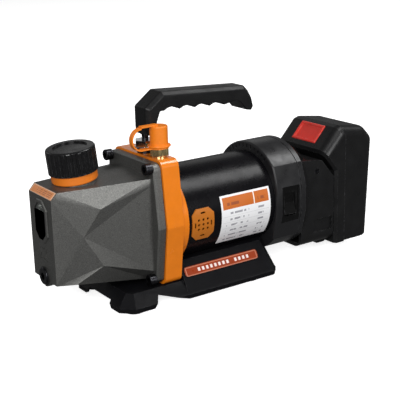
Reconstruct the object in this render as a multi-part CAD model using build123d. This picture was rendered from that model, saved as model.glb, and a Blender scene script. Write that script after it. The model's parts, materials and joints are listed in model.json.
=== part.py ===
from build123d import *
import math
import os

# A cordless rotary-vane vacuum pump. X runs along the shaft, from the oil tank to the battery.
# Z is up, and the rubber feet stand on z = 0. The origin is below the middle of the length.
# All sizes are in millimetres.

# Stations along the shaft
LENGTH = 352.0
PLUG_HEAD = 1.5
PLUG_WASHER = 1.0
TANK_X = -LENGTH / 2 + PLUG_HEAD + PLUG_WASHER
FLANGE_X = TANK_X + 89.0
FLANGE_T = 7.0
GASKET_T = 0.8
GASKET_X = FLANGE_X + FLANGE_T
BRACKET_X = GASKET_X + GASKET_T
BRACKET_T = 17.0
BELL_X = BRACKET_X + BRACKET_T
BELL_T = 7.0
BELL_END = BELL_X + BELL_T
COLLAR_X = TANK_X + 218.0
COLLAR_END = COLLAR_X + 35.0
DOCK_X = COLLAR_END + 15.0
BATTERY_X = TANK_X + 299.0
BATTERY_SEAM = BATTERY_X + 12.0
BATTERY_END = LENGTH / 2

AXIS_Z = 70.0
RUNNING = 0.05
GAP = 0.3

# Oil tank: a faceted casting that widens from its front face to its flange
TANK_WALL = 2.5
TANK_TOP = 115.0
TANK_FRONT_HALF = 21.0
TANK_REAR_HALF = 34.0
TANK_CHAMFER = 6.0
TANK_CROWN = 4.0
GLASS_Z = 87.0
GLASS_HALF_Y = 9.3
GLASS_HALF_Z = 16.0
BEZEL_BORDER = 3.2
LEGEND_Z = 58.0
DRAIN_Z = 37.5
DRAIN_BOSS_R = 9.6
PLUG_R = 7.6
PLUG_THREAD_R = 5.0

# Centre bracket and the bolted joint that it shares with the tank's flange
BRACKET_TOP = 130.0
BRACKET_BOTTOM = 16.5
BRACKET_TOP_HALF = 39.5
BRACKET_WAIST_HALF = 46.0
BRACKET_WAIST_Z = 71.0
BRACKET_BOTTOM_HALF = 38.5
BRACKET_CORNER = 7.0
FLANGE_INSET = 1.8
TANK_BOLT_Y = 33.7
TANK_BOLT_Z = (23.0, 124.0)
TANK_BOLT_R = 3.0
TANK_BOLT_HEAD_R = 5.0
TANK_BOLT_HEAD = 6.5

# Filler cap, which leans forward
CAP_X = TANK_X + 34.0
CAP_LEAN = 6.0
CAP_BASE_Z = 116.8
CAP_R = 21.4
CAP_TOP = 30.0
SEAL_RING_R = 20.0
SEAL_RING_TOP = 8.6
NECK_R = 15.5
NECK_TOP = 16.0
CAP_RIBS = 28

# Ports and handle on the bracket
PORT_X = BRACKET_X + 8.5
INTAKE_Y = -23.0
FLARE_R = 5.56
DUST_CAP_R = 8.0
DUST_CAP_Z = 139.6
DUST_CAP_TOP = 158.0
HANDLE_HALF = 12.0
HANDLE_FOOT_Z = 146.5
STUD_R = 3.0

# Vane pump inside the tank
PUMP_FRONT = TANK_X + 42.0
PLATE_T = 6.0
CHAMBER_X = PUMP_FRONT + PLATE_T
CHAMBER_END = CHAMBER_X + 36.0
PUMP_R = 27.0
PUMP_BORE_R = 20.5
PUMP_BORE_OFFSET = 2.7
ROTOR_R = 17.5
SHAFT_R = 5.0
VANE_T = 4.0
PUMP_SCREW_R = 1.75
PUMP_SCREW_PITCH_R = 23.9
PUMP_SCREW_ANGLES = (-15.0, 195.0, 235.0, 305.0)
VALVE_FLAT_Z = 95.4
PASSAGE_R = 3.0
PASSAGE_Z = 71.0

# Motor
TUBE_R = 43.0
TUBE_WALL = 2.5
TUBE_END = COLLAR_X + 3.0
BEARING_R = 13.0
BEARING_W = 7.0
MOTOR_X = BELL_END + 25.0
MOTOR_L = 40.0
STATOR_R = 40.4
STATOR_BORE = 24.2
YOKE_R = 34.5
TOOTH_W = 6.0
COIL_W = 12.0
TEETH = 9
MAGNETS = 8
CORE_R = 19.6
MAGNET_R = 23.2
END_BELL_X = TANK_X + 196.0
FAN_X = TANK_X + 208.0
FAN_W = 9.0
FAN_R = 35.0
FAN_BLADES = 9

# Rear collar and battery dock
COLLAR_TOP_R = 51.7
COLLAR_LOW_R = 54.0
COLLAR_HALF = 46.0
COLLAR_RIDGE_HALF = 40.0
COLLAR_FLAT = 12.0
COLLAR_WALL = 3.0
VENTS = 11
VENT_PITCH = 7.0
VENT_R = 47.6
SWITCH_X = COLLAR_X + 17.0
SWITCH_Z = 67.0
SWITCH_HALF_X = 10.5
SWITCH_HALF_Z = 17.5
ROCKER_HALF_X = 6.7
ROCKER_HALF_Z = 10.5
ROCKER_TILT = 8.0
DOCK_HALF = 36.5
DOCK_WALL = 4.0
DOCK_BOTTOM = 15.0
DOCK_GAP = 2.0
DOCK_SCREW_X = DOCK_X + 7.0
DOCK_SCREW_Z = 90.0
TONGUE_Z = (22.0, 84.0)
STEM_HALF = 22.0
RAIL_HALF = 27.0
RAIL_STEP = 4.0
TONGUE_DEPTH = 8.0
BLADE_Y = (-12.0, 0.0, 12.0)

# Battery
BATTERY_HALF = 37.5
BATTERY_BOTTOM = 11.0
BATTERY_TOP = 129.5
BATTERY_WALL = 2.5
CELL_R = 9.2
CELL_L = 65.0
CELL_PITCH = 19.4
CELLS = 5
HEAD_LOW = (BATTERY_X - 16.0, 106.4)
HEAD_HIGH = (BATTERY_X + 4.3, 127.8)
SHOULDER_R = 9.5
BUTTON_HALF = 17.2
BUTTON_L = 21.0
BUTTON_TRAVEL = 3.0

# Base
BASE_X = TANK_X + 49.5
BASE_END = TANK_X + 221.0
BASE_HALF = 48.0
BASE_LIFT = 2.0
BASE_LIP = 6.0
BASE_WALL = 3.0
BASE_CORNER = 11.0
DECK_HALF = 38.0
CRADLE_HALF = 31.0
CRADLE_TOP = 33.0
FOOT_R = 9.5
FOOT_Y = 36.0
FOOT_X = (TANK_X + 65.5, TANK_X + 190.5)
FOOT_H = 5.0
NAMEPLATE_X = (BELL_X + 4.5, BELL_X + 86.5)
NAMEPLATE_W = 9.0


# ---- Shape helpers ----

def box(x, y, z):
    """A box from its low and high limits along each axis."""
    centre = Pos((x[0] + x[1]) / 2, (y[0] + y[1]) / 2, (z[0] + z[1]) / 2)
    return centre * Box(x[1] - x[0], y[1] - y[0], z[1] - z[0])


def rod(x0, x1, radius, y=0.0, z=AXIS_Z):
    """A cylinder along X."""
    return Pos((x0 + x1) / 2, y, z) * Rot(0, 90, 0) * Cylinder(radius, x1 - x0)


def ring(x0, x1, outer, inner, y=0.0, z=AXIS_Z):
    """A hollow cylinder along X."""
    return rod(x0, x1, outer, y, z) - rod(x0, x1, inner, y, z)


def post(x, y, z0, z1, radius):
    """An upright cylinder."""
    return Pos(x, y, (z0 + z1) / 2) * Cylinder(radius, z1 - z0)


def hex_post(x, y, z0, z1, across_flats):
    """An upright hexagonal prism."""
    outline = RegularPolygon(across_flats / 2, 6, major_radius=False)
    return Pos(x, y, z0) * extrude(outline, z1 - z0)


def side_prism(points, y0, y1):
    """An outline of (x, z) points, extruded across the pump."""
    face = make_face(Plane.XZ * Polyline(*points, close=True))
    return Pos(0, y0, 0) * extrude(face, y1 - y0, dir=(0, 1, 0))


def cross_prism(face, x0, x1):
    """A face drawn on the YZ plane, extruded along the pump."""
    return Pos(x0, 0, 0) * extrude(face, x1 - x0, dir=(1, 0, 0))


def cross_face(points):
    """A face on the YZ plane from (y, z) points."""
    return make_face(Plane.YZ * Polyline(*points, close=True))


def plan_face(points, z):
    """A level face from (x, y) points."""
    return make_face(Plane.XY.offset(z) * Polyline(*points, close=True))


def polar(radius, degrees):
    """The (y, z) place at an angle about the shaft, from the +Y side upwards."""
    turn = math.radians(degrees)
    return radius * math.cos(turn), AXIS_Z + radius * math.sin(turn)


def sector(x0, x1, outer, inner, start, end):
    """Part of a hollow cylinder about the shaft, between two angles less than 120 degrees apart."""
    reach = outer * 3
    middle = (start + end) / 2
    wedge = cross_face([(0, AXIS_Z), polar(reach, start), polar(reach, middle), polar(reach, end)])
    return ring(x0, x1, outer, inner) & cross_prism(wedge, x0, x1)


def polyhedron(points, faces):
    """A closed solid from its corners and flat faces."""
    skins = [Face(Wire.make_polygon([points[i] for i in face], close=True)) for face in faces]
    return Solid(Shell(skins))


def octagon(half_a, half_b, corner):
    """Corners of a rectangle about (0, 0) with its corners cut off."""
    quarter = [(half_a, half_b - corner), (half_a - corner, half_b)]
    left = [(-a, b) for a, b in reversed(quarter)]
    lower = [(-a, -b) for a, b in quarter]
    right = [(a, -b) for a, b in reversed(quarter)]
    return quarter + left + lower + right


def moved(points, a, b):
    """The same outline about another place."""
    return [(p + a, q + b) for p, q in points]


def mirrored(solid):
    """The solid and its mirror image on the other side of the pump."""
    return solid + mirror(solid, Plane.XZ)


# ---- Bracket and oil tank ----

def bracket_outline(inset):
    """The bolted outline of bracket, gasket and flange: widest at its waist."""
    half = [
        (BRACKET_TOP_HALF - inset, BRACKET_TOP - inset),
        (BRACKET_WAIST_HALF - inset, BRACKET_WAIST_Z),
        (BRACKET_BOTTOM_HALF - inset, BRACKET_BOTTOM + inset),
    ]
    other = [(-y, z) for y, z in reversed(half)]
    face = cross_face(half + other)
    return fillet(face.vertices(), BRACKET_CORNER)


def tank_bolts(x0, x1, radius):
    """One rod at each tank bolt."""
    return [rod(x0, x1, radius, side * TANK_BOLT_Y, z) for side in (-1, 1) for z in TANK_BOLT_Z]


def pump_screw_places():
    """The (y, z) places of the vane pump's screws."""
    return [polar(PUMP_SCREW_PITCH_R, angle) for angle in PUMP_SCREW_ANGLES]


def centre_bracket():
    """The cast bracket between tank and motor, with the motor's bell behind it."""
    body = cross_prism(bracket_outline(0), BRACKET_X, BELL_X)
    bell = rod(BELL_X - 1, BELL_END, TUBE_R + 1.7)
    bell = fillet(bell.edges().sort_by(Axis.X)[-1], 1.2)
    tube_seat = ring(BELL_X + 1, BELL_END + 1, TUBE_R, BEARING_R + 6)
    solid = body + bell - tube_seat
    solid -= rod(BRACKET_X, BELL_END, SHAFT_R + 1)
    solid -= rod(BRACKET_X + 1.2, BRACKET_X + 7.2, 11.0)
    solid -= rod(BRACKET_X + 7.2, BELL_END, 12.0)
    solid -= rod(BELL_END - BEARING_W, BELL_END, BEARING_R)
    solid -= tank_bolts(BRACKET_X, BRACKET_X + 12, TANK_BOLT_R)
    for y, z in pump_screw_places():
        solid -= rod(BRACKET_X, BRACKET_X + 5, PUMP_SCREW_R, y, z)
    solid -= post(PORT_X, INTAKE_Y, PASSAGE_Z, BRACKET_TOP, PASSAGE_R)
    solid -= post(PORT_X, INTAKE_Y, BRACKET_TOP - 12, BRACKET_TOP, 6.4)
    solid -= post(PORT_X, 0, BRACKET_TOP - 12, BRACKET_TOP, STUD_R)
    solid -= rod(BRACKET_X, PORT_X, PASSAGE_R, INTAKE_Y, PASSAGE_Z)
    for side in (-1, 1):
        solid -= post(PORT_X, side * BASE_SCREW_Y, BRACKET_BOTTOM, BRACKET_BOTTOM + 14, BASE_SCREW_R)
    return solid


def tank_shape(wall, rear_x):
    """The faceted tank body, set in by a wall thickness."""
    def half_point(x, y, z):
        shift = -wall if z > AXIS_Z + 5 else wall
        if abs(z - AXIS_Z) <= 5:
            shift = 0
        return (TANK_X + x + wall, y - wall, z + shift)

    near_and_far = []
    front = TANK_FRONT_HALF
    rear = TANK_REAR_HALF
    top = TANK_TOP
    half = [
        half_point(0, front, top - TANK_CHAMFER),
        half_point(TANK_CHAMFER, front + 0.8, top),
        half_point(0, front, 34),
        half_point(16, 27, 33.5),
        half_point(40, 32, 97),
        half_point(24, 29, 74.5),
        half_point(40, 32, 46.5),
        (rear_x, rear - wall, top - wall),
        (rear_x, rear - wall, top - TANK_CHAMFER - wall),
        (rear_x, rear - wall, 31 + wall),
        (rear_x, 24 - wall, 21 + wall),
    ]
    for side in (-1, 1):
        near_and_far += [(x, side * y, z) for x, y, z in half]
    crown = (rear_x, 0, top + TANK_CROWN - wall)
    points = near_and_far + [crown]
    low, count = 0, len(half)
    crown_at = len(points) - 1
    side_faces = [
        (1, 7, 4), (7, 8, 4), (0, 1, 4), (0, 4, 5), (0, 5, 2), (2, 5, 6),
        (2, 6, 3), (5, 4, 8), (5, 8, 9), (5, 9, 6), (6, 9, 10), (6, 10, 3),
    ]
    faces = []
    for start in (low, count):
        faces += [tuple(i + start for i in face) for face in side_faces]
    for a, b in ((0, 2), (0, 1), (2, 3), (3, 10)):
        faces.append((a, b, b + count, a + count))
    faces += [(1, 1 + count, crown_at), (1, crown_at, 7), (1 + count, 7 + count, crown_at)]
    rear_corners = [7, 8, 9, 10]
    faces.append(tuple(rear_corners + [i + count for i in reversed(rear_corners)] + [crown_at]))
    return polyhedron(points, faces)


def on_cap_axis(z0, z1, radius):
    """A cylinder on the leaning axis of the filler cap, measured from the tank's top."""
    return CAP_PLACE * Pos(0, 0, (z0 + z1) / 2) * Cylinder(radius, z1 - z0)


def sight_outline(border):
    """The outline of the sight glass, set out by a border."""
    corner = 6.0 + border / 2
    return moved(octagon(GLASS_HALF_Y + border, GLASS_HALF_Z + border, corner), 0, GLASS_Z)


def level_legend():
    """The engraved frame below the sight glass, drawn in at its waist."""
    def waisted(inset):
        side, waist, high, dip = 7.5 - inset, 4.9 - inset, 6.8 - inset, 4.6 - inset
        return [
            (side, high), (0, dip), (-side, high), (-waist, 0),
            (-side, -high), (0, -dip), (side, -high), (waist, 0),
        ]

    outer = cross_prism(cross_face(moved(waisted(0), 0, LEGEND_Z)), TANK_X, TANK_X + 0.6)
    return outer - cross_prism(cross_face(moved(waisted(1.1), 0, LEGEND_Z)), TANK_X, TANK_X + 0.6)


def oil_tank():
    """The tank casting, open to the bracket at its flange."""
    body = tank_shape(0, FLANGE_X)
    flange = cross_prism(bracket_outline(FLANGE_INSET), FLANGE_X, GASKET_X)
    flange = chamfer(flange.faces().sort_by(Axis.X)[0].edges(), 1.2)
    drain_boss = rod(TANK_X, TANK_X + 14, DRAIN_BOSS_R, 0, DRAIN_Z)
    solid = body + flange + drain_boss + on_cap_axis(-8, 0.4, SEAL_RING_R - 1.2)
    solid -= tank_shape(TANK_WALL, GASKET_X + 0.01)
    solid += on_cap_axis(-6, NECK_TOP, NECK_R)
    solid += rod(TANK_X, TANK_X + 12, DRAIN_BOSS_R - 1, 0, DRAIN_Z)
    solid -= on_cap_axis(-20, NECK_TOP + 1, NECK_R - 3.5)
    solid -= rod(TANK_X, TANK_X + 14, PLUG_THREAD_R, 0, DRAIN_Z)
    solid -= cross_prism(cross_face(sight_outline(-0.8)), TANK_X, TANK_X + 8)
    solid -= cross_prism(cross_face(sight_outline(1.2)), TANK_X, TANK_X + 2.2)
    solid -= tank_bolts(FLANGE_X, GASKET_X, TANK_BOLT_R + 0.3)
    solid -= level_legend()
    return solid


def tank_gasket():
    """The flat gasket between tank and bracket."""
    face_ring = cross_prism(bracket_outline(FLANGE_INSET + 0.4), GASKET_X, BRACKET_X)
    half = TANK_REAR_HALF - TANK_WALL
    opening = box((GASKET_X, BRACKET_X), (-half, half), (34, 112))
    holes = tank_bolts(GASKET_X, BRACKET_X, TANK_BOLT_R + 0.3)
    return face_ring - opening - holes


def socket_screw(x0, shank_end, head, head_r, shank_r, y, z):
    """A socket-head screw along X whose head starts at x0."""
    socket = Pos(x0, y, z) * Rot(0, 90, 0) * extrude(RegularPolygon(head_r * 0.58, 6), head * 0.55)
    top = rod(x0, x0 + head, head_r, y, z)
    top = chamfer(top.edges().sort_by(Axis.X)[0], head_r * 0.09)
    return top + rod(x0 + head, shank_end, shank_r, y, z) - socket


def tank_screws():
    """Four socket-head screws that hold the tank on the bracket."""
    start = FLANGE_X - TANK_BOLT_HEAD
    end = BRACKET_X + 12
    screws = []
    for side in (-1, 1):
        for z in TANK_BOLT_Z:
            y = side * TANK_BOLT_Y
            screws.append(socket_screw(start, end, TANK_BOLT_HEAD, TANK_BOLT_HEAD_R, TANK_BOLT_R, y, z))
    return screws


def sight_glass():
    """The clear window over the oil level."""
    return cross_prism(cross_face(sight_outline(1.2)), TANK_X + 0.2, TANK_X + 2.2)


def sight_glass_bezel():
    """The raised frame round the window, with a sloping edge."""
    outer = cross_prism(cross_face(sight_outline(BEZEL_BORDER)), TANK_X - 1.3, TANK_X)
    outer = chamfer(outer.faces().sort_by(Axis.X)[0].edges(), 0.9)
    return outer - cross_prism(cross_face(sight_outline(0)), TANK_X - 1.3, TANK_X)


def tank_sticker():
    """The sticker on the sloping front edge of the tank's top."""
    slope = Pos(TANK_X + TANK_CHAMFER / 2, 0, TANK_TOP - TANK_CHAMFER / 2) * Rot(0, -45, 0)
    return slope * Pos(0, 0, 0.15) * Box(TANK_CHAMFER * 1.25, TANK_FRONT_HALF * 1.9, 0.3)


def drain_plug():
    """The oil drain plug, with a hexagon socket."""
    head = rod(TANK_X - PLUG_WASHER - PLUG_HEAD, TANK_X - PLUG_WASHER, PLUG_R, 0, DRAIN_Z)
    head = chamfer(head.edges().sort_by(Axis.X)[0], 0.6)
    thread = rod(TANK_X - PLUG_WASHER, TANK_X + 8, PLUG_THREAD_R - RUNNING, 0, DRAIN_Z)
    key = RegularPolygon(3.5, 6)
    socket = Pos(TANK_X - PLUG_WASHER - PLUG_HEAD, 0, DRAIN_Z) * Rot(0, 90, 0) * extrude(key, 5)
    return head + thread - socket


def drain_washer():
    """The sealing washer below the drain plug's head."""
    return ring(TANK_X - PLUG_WASHER, TANK_X, PLUG_R + 0.7, PLUG_THREAD_R + RUNNING, 0, DRAIN_Z)


# ---- Filler cap ----

def filler_seal_ring():
    """The coloured sealing ring between the filler cap and the tank."""
    body = on_cap_axis(0.6, SEAL_RING_TOP, SEAL_RING_R)
    body = fillet(body.edges().sort_by(Axis.Z)[0], 1.5)
    return body - on_cap_axis(0, SEAL_RING_TOP + 1, NECK_R + 0.4)


def filler_cap():
    """The ribbed filler cap, with a recessed top."""
    low = SEAL_RING_TOP + 0.2
    body = CAP_PLACE * Pos(0, 0, (low + CAP_TOP) / 2) * Cylinder(CAP_R, CAP_TOP - low)
    body = fillet(body.edges().sort_by(Axis.Z)[-1], 2.0)
    groove = Cylinder(1.3, CAP_TOP - low - 2.6) + Pos(0, 0, (CAP_TOP - low - 2.6) / 2) * Sphere(1.3)
    height = (low + CAP_TOP - 2.6) / 2 + 0.6
    for step in range(CAP_RIBS):
        body -= CAP_PLACE * Rot(0, 0, step * 360 / CAP_RIBS) * Pos(CAP_R + 0.35, 0, height) * groove
    body -= on_cap_axis(CAP_TOP - 1.4, CAP_TOP + 1, CAP_R - 6.5)
    return body - on_cap_axis(low - 1, CAP_TOP - 5, NECK_R + 0.4)


def exhaust_filter():
    """The oil-mist filter in the filler neck."""
    outer = on_cap_axis(-16, NECK_TOP - 1, NECK_R - 3.7)
    return outer - on_cap_axis(-17, NECK_TOP - 4, NECK_R - 8)


# ---- Vane pump ----

def pump_bore(x0, x1):
    """The off-centre bore that the rotor turns in."""
    return rod(x0, x1, PUMP_BORE_R, 0, AXIS_Z + PUMP_BORE_OFFSET)


def pump_cylinder():
    """The pump's cylinder, with a flat for the exhaust valve."""
    body = rod(CHAMBER_X, CHAMBER_END, PUMP_R) - pump_bore(CHAMBER_X, CHAMBER_END)
    for y, z in pump_screw_places():
        body -= rod(CHAMBER_X, CHAMBER_END, PUMP_SCREW_R + 0.15, y, z)
    body -= box((CHAMBER_X + 6, CHAMBER_END - 6), (-9, 9), (VALVE_FLAT_Z, AXIS_Z + PUMP_R + 1))
    exhaust_x = (CHAMBER_X + CHAMBER_END) / 2
    body -= post(exhaust_x, 0, AXIS_Z + PUMP_BORE_R, AXIS_Z + PUMP_R, 2.5)
    return body - rod(CHAMBER_END - 12, CHAMBER_END, PASSAGE_R, INTAKE_Y, PASSAGE_Z)


def pump_front_plate():
    """The plate that closes the front of the pump's cylinder."""
    body = rod(PUMP_FRONT, CHAMBER_X, PUMP_R) - rod(PUMP_FRONT, CHAMBER_X, SHAFT_R + RUNNING)
    for y, z in pump_screw_places():
        body -= rod(PUMP_FRONT, CHAMBER_X, PUMP_SCREW_R + 0.15, y, z)
    return body


def pump_rear_plate():
    """The plate between the pump's cylinder and the bracket."""
    body = rod(CHAMBER_END, BRACKET_X, PUMP_R + 1.5)
    body -= rod(CHAMBER_END, BRACKET_X, SHAFT_R + RUNNING)
    for y, z in pump_screw_places():
        body -= rod(CHAMBER_END, BRACKET_X, PUMP_SCREW_R + 0.15, y, z)
    return body - rod(CHAMBER_END, BRACKET_X, PASSAGE_R, INTAKE_Y, PASSAGE_Z)


def cylinder_screws():
    """Four long screws through the pump into the bracket."""
    end = BRACKET_X + 5
    start = PUMP_FRONT - 3
    return [socket_screw(start, end, 3, 3.0, PUMP_SCREW_R, y, z) for y, z in pump_screw_places()]


def exhaust_valve():
    """The thin reed over the exhaust port."""
    middle = (CHAMBER_X + CHAMBER_END) / 2
    return box((middle - 10, middle + 10), (-6, 6), (VALVE_FLAT_Z, VALVE_FLAT_Z + 0.4))


def valve_guard():
    """The curved stop that limits the reed's lift."""
    middle = (CHAMBER_X + CHAMBER_END) / 2
    low = VALVE_FLAT_Z + 0.4
    outline = [
        (middle - 10, low), (middle - 4, low), (middle + 10, low + 2.6),
        (middle + 10, low + 4.2), (middle - 4, low + 1.6), (middle - 10, low + 1.6),
    ]
    return side_prism(outline, -6, 6)


def pump_rotor():
    """The slotted pump rotor with its stub shafts."""
    body = rod(CHAMBER_X + GAP, CHAMBER_END - GAP, ROTOR_R)
    stubs = rod(PUMP_FRONT + 1, COUPLING_X + 4, SHAFT_R)
    solid = body + stubs
    for side in (-1, 1):
        y = sorted((side * (SHAFT_R + 0.6), side * (ROTOR_R + 1)))
        half = VANE_T / 2 + RUNNING
        solid -= box((CHAMBER_X, CHAMBER_END), y, (AXIS_Z - half, AXIS_Z + half))
    return solid


def rotor_vanes():
    """Two vanes that slide in the rotor's slots."""
    vanes = []
    for side in (-1, 1):
        y = sorted((side * (SHAFT_R + 1), side * (ROTOR_R - 0.2)))
        height = (AXIS_Z - VANE_T / 2, AXIS_Z + VANE_T / 2)
        vanes.append(box((CHAMBER_X + GAP, CHAMBER_END - GAP), y, height))
    return vanes


def shaft_seal():
    """The lip seal between the pump and the motor."""
    return ring(BRACKET_X + 1.2, BRACKET_X + 7, 11.0, SHAFT_R + RUNNING)


# ---- Motor ----

def drive_coupling():
    """The sleeve that joins the pump rotor to the motor shaft."""
    return ring(COUPLING_X, BELL_END - BEARING_W - 0.5, 11.4, SHAFT_R)


def motor_shaft():
    """The motor's shaft."""
    return rod(COUPLING_X + 4.4, FAN_X + FAN_W, SHAFT_R)


def bearing_starts():
    """Where each ball bearing starts along the shaft."""
    return (BELL_END - BEARING_W, END_BELL_X + 2)


def bearing_outer_rings():
    """The outer rings of the motor's two ball bearings."""
    return [ring(x, x + BEARING_W, BEARING_R, BEARING_R - 2.4) for x in bearing_starts()]


def bearing_inner_rings():
    """The inner rings of the motor's two ball bearings."""
    return [ring(x, x + BEARING_W, SHAFT_R + 2.4, SHAFT_R) for x in bearing_starts()]


def grille_outline(border):
    """The eight-sided outline of the side vent, as (x, z) points."""
    return moved(octagon(11.7 + border, 14.5 + border, 5.0), GRILLE_X, GRILLE_Z)


def motor_tube():
    """The motor's steel tube."""
    body = ring(BELL_X + 1, TUBE_END, TUBE_R, TUBE_R - TUBE_WALL)
    vent = side_prism(grille_outline(-2.5), -TUBE_R - 1, 0)
    screws = [post(x, 0, AXIS_Z - TUBE_R - 1, AXIS_Z - 30, BASE_SCREW_R) for x in TUBE_SCREW_X]
    return body - vent - screws


def vent_grille():
    """The perforated cover over the side vent."""
    cover = ring(GRILLE_X - 20, GRILLE_X + 20, TUBE_R + 1.1, TUBE_R)
    cover = cover & side_prism(grille_outline(0), -TUBE_R - 2, 0)
    for column in (-1, 0, 1):
        for row in (-1, 0, 1):
            middle = (GRILLE_X + column * 4.8, GRILLE_Z + row * 4.4)
            cover -= side_prism(moved(octagon(1.15, 1.15, 0.6), *middle), -TUBE_R - 2, 0)
    for side in (-1, 1):
        low_slot = moved(octagon(2.6, 0.8, 0.5), GRILLE_X, GRILLE_Z + side * 10.6)
        side_slot = moved(octagon(0.8, 2.6, 0.5), GRILLE_X + side * 8.6, GRILLE_Z)
        cover -= side_prism(low_slot, -TUBE_R - 2, 0) + side_prism(side_slot, -TUBE_R - 2, 0)
    return cover


def stator_core():
    """The laminated stator with its teeth."""
    core = ring(MOTOR_X, MOTOR_X + MOTOR_L, STATOR_R, YOKE_R)
    for tooth in range(TEETH):
        blade = box((MOTOR_X, MOTOR_X + MOTOR_L), (STATOR_BORE, YOKE_R + 1), (-TOOTH_W / 2, TOOTH_W / 2))
        core += Pos(0, 0, AXIS_Z) * Rot(tooth * 360 / TEETH, 0, 0) * blade
    return core


def stator_windings():
    """One copper coil round each stator tooth."""
    coils = []
    overhang = 5.0
    outer = box((MOTOR_X - overhang, MOTOR_X + MOTOR_L + overhang), (26, 33.5), (-COIL_W / 2, COIL_W / 2))
    inner = box((MOTOR_X, MOTOR_X + MOTOR_L), (25, 35), (-TOOTH_W / 2, TOOTH_W / 2))
    coil = fillet((outer - inner).edges().filter_by(Axis.Y).sort_by(Axis.X)[-2:], 2.0)
    for tooth in range(TEETH):
        coils.append(Pos(0, 0, AXIS_Z) * Rot(tooth * 360 / TEETH, 0, 0) * coil)
    return coils


def rotor_core():
    """The motor's rotor core."""
    return ring(MOTOR_X, MOTOR_X + MOTOR_L, CORE_R, SHAFT_R)


def rotor_magnets():
    """The magnets round the rotor core."""
    pitch = 360 / MAGNETS
    ends = (MOTOR_X + 1, MOTOR_X + MOTOR_L - 1)
    return [sector(*ends, MAGNET_R, CORE_R, i * pitch + 2, (i + 1) * pitch - 2) for i in range(MAGNETS)]


def end_bell():
    """The motor's rear bearing carrier."""
    disc = rod(END_BELL_X, END_BELL_X + 5, TUBE_R - TUBE_WALL)
    disc += rod(END_BELL_X, END_BELL_X + BEARING_W + 2, BEARING_R + 3)
    disc -= rod(END_BELL_X, END_BELL_X + BEARING_W + 2, SHAFT_R + 1)
    disc -= rod(END_BELL_X + 2, END_BELL_X + BEARING_W + 2, BEARING_R)
    for window in range(6):
        y, z = polar(27, window * 60)
        disc -= rod(END_BELL_X, END_BELL_X + 5, 7.5, y, z)
    return disc


def cooling_fan():
    """The motor's cooling fan."""
    fan = ring(FAN_X, FAN_X + FAN_W, 8, SHAFT_R) + ring(FAN_X, FAN_X + 1.4, FAN_R, SHAFT_R)
    for step in range(FAN_BLADES):
        blade = box((FAN_X, FAN_X + FAN_W), (7, FAN_R - 0.5), (-0.8, 0.8))
        fan += Pos(0, 0, AXIS_Z) * Rot(step * 360 / FAN_BLADES, 0, 0) * blade
    return fan


# ---- Rear collar, switch and battery dock ----

def collar_outline(inset):
    """The collar's outline: arched above and below, with faceted sides."""
    top_r = COLLAR_TOP_R - inset
    low_r = COLLAR_LOW_R - inset
    ridge = COLLAR_RIDGE_HALF - inset * 0.8
    high = math.sqrt(top_r ** 2 - ridge ** 2)
    low = -math.sqrt(low_r ** 2 - ridge ** 2)
    side = COLLAR_HALF - inset
    place = Plane.YZ * Pos(0, AXIS_Z)
    top = ThreePointArc((-ridge, high), (0, top_r), (ridge, high))
    bottom = ThreePointArc((ridge, low), (0, -low_r), (-ridge, low))
    right = Polyline((ridge, high), (side, COLLAR_FLAT), (side, -COLLAR_FLAT), (ridge, low))
    left = Polyline((-ridge, low), (-side, -COLLAR_FLAT), (-side, COLLAR_FLAT), (-ridge, high))
    return place * make_face(Wire([*top.edges(), *right.edges(), *bottom.edges(), *left.edges()]))


def rear_collar():
    """The collar behind the motor tube, with its ring of air vents and the switch opening."""
    solid = cross_prism(collar_outline(0), COLLAR_X, COLLAR_END)
    solid = fillet(solid.faces().sort_by(Axis.X)[0].edges(), 1.8)
    solid -= cross_prism(collar_outline(COLLAR_WALL), COLLAR_X + COLLAR_WALL, COLLAR_END)
    solid -= rod(COLLAR_X, COLLAR_X + COLLAR_WALL, TUBE_R + 0.1)
    slot = box((COLLAR_X, COLLAR_X + COLLAR_WALL), (VENT_R - 2.1, VENT_R + 2.1), (-1.1, 1.1))
    for step in range(VENTS):
        angle = 90 + (step - (VENTS - 1) / 2) * VENT_PITCH
        solid -= Pos(0, 0, AXIS_Z) * Rot(angle, 0, 0) * slot
    seam = cross_prism(collar_outline(-1), COLLAR_END - 6, COLLAR_END - 5)
    solid -= seam - cross_prism(collar_outline(0.6), COLLAR_END - 6, COLLAR_END - 5)
    opening_x = (SWITCH_X - SWITCH_HALF_X, SWITCH_X + SWITCH_HALF_X)
    opening_z = (SWITCH_Z - SWITCH_HALF_Z, SWITCH_Z + SWITCH_HALF_Z)
    return solid - box(opening_x, (-COLLAR_HALF, -COLLAR_HALF + COLLAR_WALL + 4), opening_z)


def switch_housing():
    """The switch's frame and body, fitted in the collar's side."""
    outer_x = (SWITCH_X - SWITCH_HALF_X, SWITCH_X + SWITCH_HALF_X)
    outer_z = (SWITCH_Z - SWITCH_HALF_Z, SWITCH_Z + SWITCH_HALF_Z)
    face_y = -COLLAR_HALF + 1.6
    body = box(outer_x, (face_y, face_y + 3), outer_z)
    body += box((SWITCH_X - 9, SWITCH_X + 9), (face_y + 3, face_y + 20), (SWITCH_Z - 14, SWITCH_Z + 14))
    well_x = (SWITCH_X - ROCKER_HALF_X - GAP, SWITCH_X + ROCKER_HALF_X + GAP)
    well_z = (SWITCH_Z - ROCKER_HALF_Z - 1, SWITCH_Z + ROCKER_HALF_Z + 1)
    return body - box(well_x, (face_y, face_y + 13), well_z)


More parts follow.
